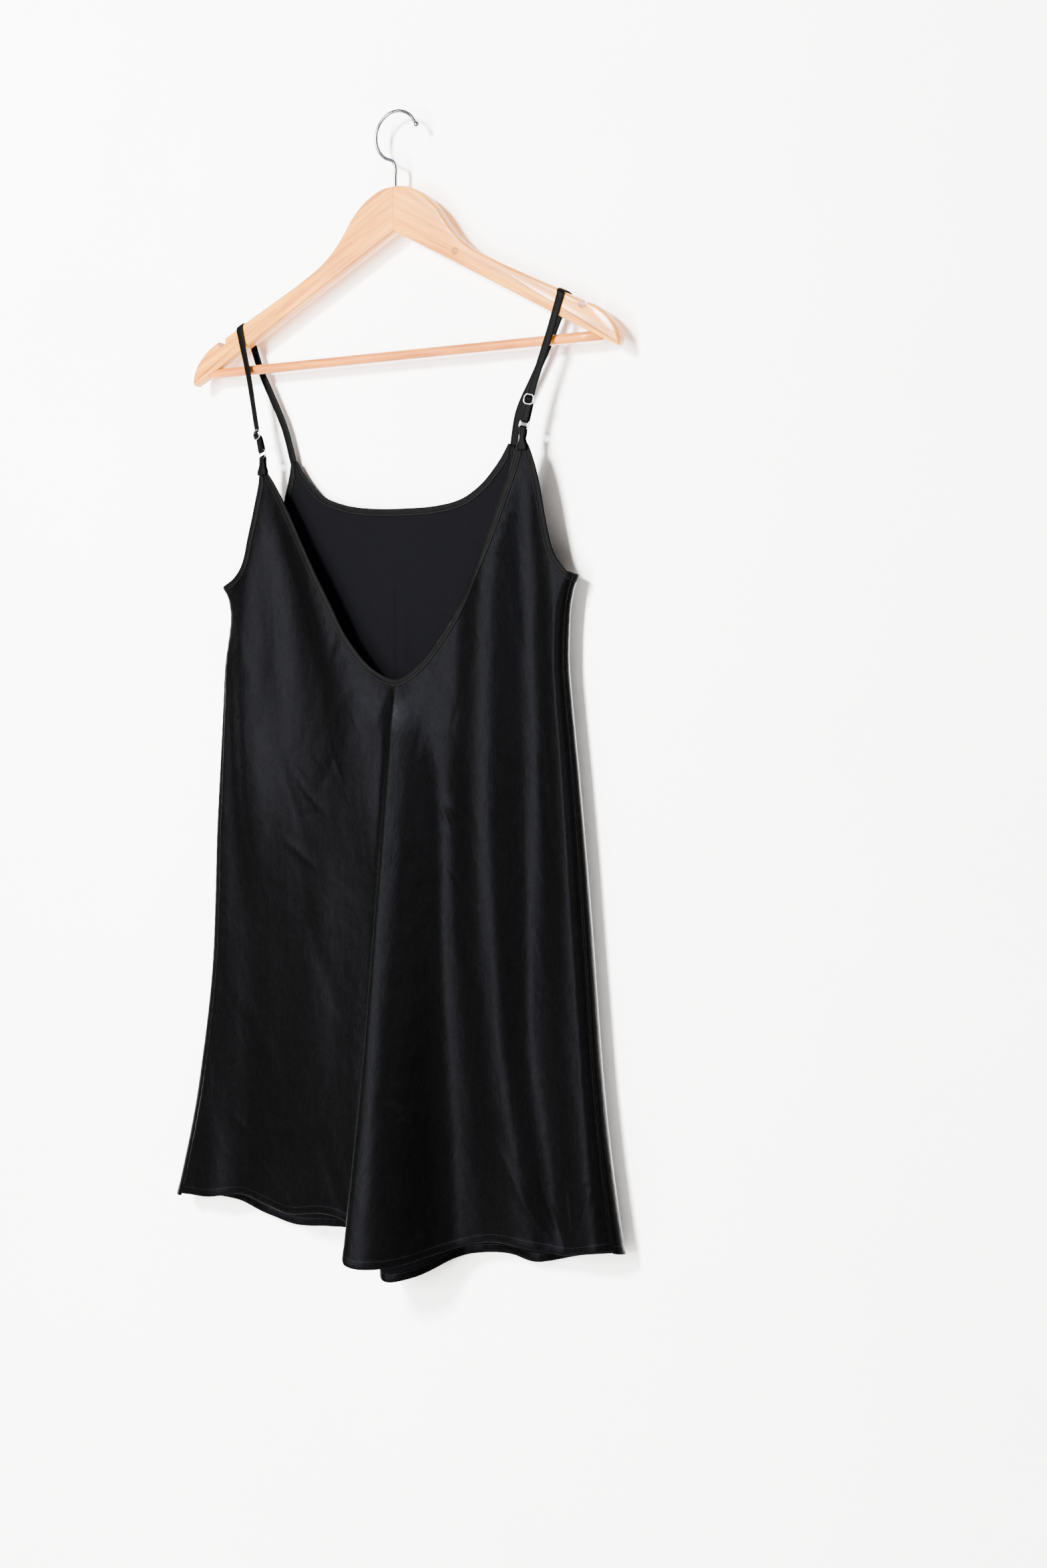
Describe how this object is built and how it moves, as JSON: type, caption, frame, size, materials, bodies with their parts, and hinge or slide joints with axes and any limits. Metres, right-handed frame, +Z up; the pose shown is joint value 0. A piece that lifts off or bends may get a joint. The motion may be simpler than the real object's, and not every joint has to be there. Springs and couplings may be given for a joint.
{
  "type": "slip dress on a wooden hanger",
  "caption": "Short V-neck slip dress of soft satin with thin slider straps, hanging from a wooden hanger with a metal hook.",
  "frame": {"origin": "inner top of the hanger's hook, where the rail or peg that carries it bears", "axes": "+Z up, +X to the right as seen from the dress's front, +Y from the front toward the back"},
  "size_m": [0.4721, 0.0734, 1.0293],
  "materials": {
    "satin": "black satin, soft sheen",
    "binding": "black satin bias binding",
    "nickel": "polished nickel",
    "wood": "clear lacquer",
    "hook_steel": "polished"
  },
  "bodies": {
    "root": {"front_panel": "satin", "back_panel": "satin", "front_neck_binding": "binding", "back_neck_binding": "binding", "armhole_binding_left": "binding", "armhole_binding_right": "binding", "strap_left": "binding", "slider_left": "nickel", "ring_left": "nickel", "tab_left": "binding", "strap_right": "binding", "slider_right": "nickel", "ring_right": "nickel", "tab_right": "binding", "hanger_arm_left": "wood", "hanger_arm_right": "wood", "hanger_bar": "wood", "hook": "hook_steel", "hook_tip": "hook_steel"}
  },
  "joints": []
}
